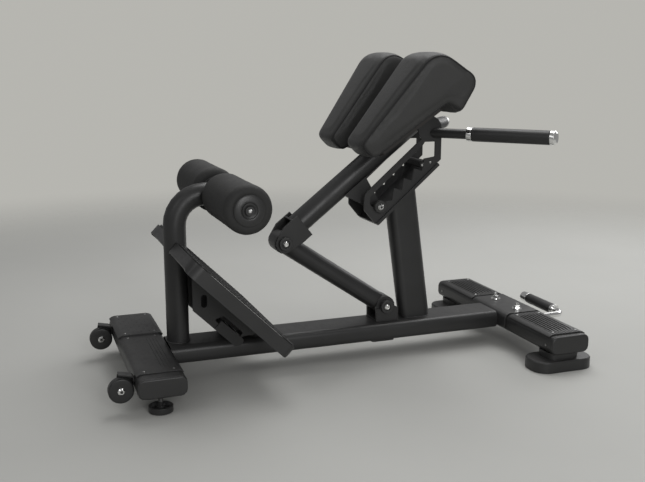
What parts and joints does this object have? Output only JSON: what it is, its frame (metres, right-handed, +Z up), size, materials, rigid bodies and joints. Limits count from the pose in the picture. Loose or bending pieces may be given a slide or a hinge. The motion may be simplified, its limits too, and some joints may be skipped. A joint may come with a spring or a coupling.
{
  "type": "hyperextension bench",
  "caption": "Floor-standing hyperextension bench: split hip pad on a notched linked carriage, foam ankle rollers, sloped foot plate, side handles and transport wheels.",
  "frame": {"origin": "on the floor, under the centre of the bench's box", "axes": "+Z up, +X from the foot plate to the handles, +Y to the left of a user who faces the pads"},
  "size_m": [1.3645, 0.67, 0.8543],
  "materials": {
    "black_paint": "satin powder coat",
    "satin_black": "satin",
    "black_plastic": "satin moulded",
    "black_rubber": "matte",
    "black_foam": "matte closed-cell foam",
    "charcoal_vinyl": "matte vinyl",
    "dark_board": "matte",
    "chrome": "polished"
  },
  "bodies": {
    "frame": {"base_bracket": "black_paint", "base_pin": "satin_black", "clamp_plate": "black_paint", "foot_plate": "black_paint", "foot_strut": "black_paint", "foot_support": "black_paint", "foot_tread": "black_rubber", "front_cap_left": "black_plastic", "front_cap_right": "black_plastic", "front_crossbar": "black_paint", "front_tread_left": "black_rubber", "front_tread_right": "black_rubber", "handle_bar_left": "black_paint", "handle_bar_right": "black_paint", "handle_core_left": "chrome", "handle_core_right": "chrome", "handle_grip_left": "black_rubber", "handle_grip_right": "black_rubber", "ladder_base": "black_paint", "ladder_plate_left": "black_paint", "ladder_plate_right": "black_paint", "ladder_post": "black_paint", "lift_grip": "black_rubber", "lift_handle": "chrome", "main_rail": "black_paint", "rear_cap_left": "black_plastic", "rear_cap_right": "black_plastic", "rear_crossbar": "black_paint", "rear_tread_left": "black_rubber", "rear_tread_right": "black_rubber", "roller_axle": "black_paint", "roller_post": "black_paint", "rubber_foot_left": "black_rubber", "rubber_foot_right": "black_rubber", "saddle_plate": "black_paint", "stop_rod": "black_plastic", "wheel_fork_left": "black_paint", "wheel_fork_right": "black_paint"},
    "link": {"lower_link": "black_paint"},
    "carriage": {"pad_arm": "black_paint", "arm_cap": "black_plastic", "elbow_clevis": "black_paint", "elbow_pin": "satin_black", "arm_gusset": "black_paint", "latch_pin": "satin_black", "pad_carrier_low": "black_paint", "pad_carrier_high": "black_paint", "pad_board_left": "dark_board", "pad_board_right": "dark_board", "pad_left": "charcoal_vinyl", "pad_right": "charcoal_vinyl"},
    "wheel_left": {"wheel_left": "black_plastic"},
    "wheel_right": {"wheel_right": "black_plastic"},
    "roller_left": {"roller_core_left": "black_plastic", "foam_roller_left": "black_foam"},
    "roller_right": {"roller_core_right": "black_plastic", "foam_roller_right": "black_foam"},
    "levelling_left": {"levelling_foot_left": "black_plastic"},
    "levelling_right": {"levelling_foot_right": "black_plastic"}
  },
  "joints": [
    {"name": "link_swing", "type": "hinge", "parent": "frame", "child": "link", "pos_m": [0.119, 0, 0.144], "axis": [0, 1, 0], "range_deg": [0, 24.12]},
    {"name": "elbow_fold", "type": "hinge", "parent": "link", "child": "carriage", "pos_m": [-0.181, 0, 0.348], "axis": [0, 1, 0], "range_deg": [-28.13, 0]},
    {"name": "wheel_spin_left", "type": "hinge", "parent": "frame", "child": "wheel_left", "pos_m": [-0.652, 0.2114, 0.06], "axis": [0, 1, 0], "continuous": true},
    {"name": "wheel_spin_right", "type": "hinge", "parent": "frame", "child": "wheel_right", "pos_m": [-0.652, -0.2114, 0.06], "axis": [0, 1, 0], "continuous": true},
    {"name": "roller_spin_left", "type": "hinge", "parent": "frame", "child": "roller_left", "pos_m": [-0.349, 0, 0.49], "axis": [0, 1, 0], "continuous": true},
    {"name": "roller_spin_right", "type": "hinge", "parent": "frame", "child": "roller_right", "pos_m": [-0.349, 0, 0.49], "axis": [0, 1, 0], "continuous": true},
    {"name": "levelling_slide_left", "type": "slide", "parent": "frame", "child": "levelling_left", "axis": [0, 0, 1], "range_m": [-0.012, 0]},
    {"name": "levelling_slide_right", "type": "slide", "parent": "frame", "child": "levelling_right", "axis": [0, 0, 1], "range_m": [-0.012, 0]}
  ],
  "couplings": [
    {"joint": "elbow_fold", "follows": "link_swing", "ratio": -1.1657}
  ]
}
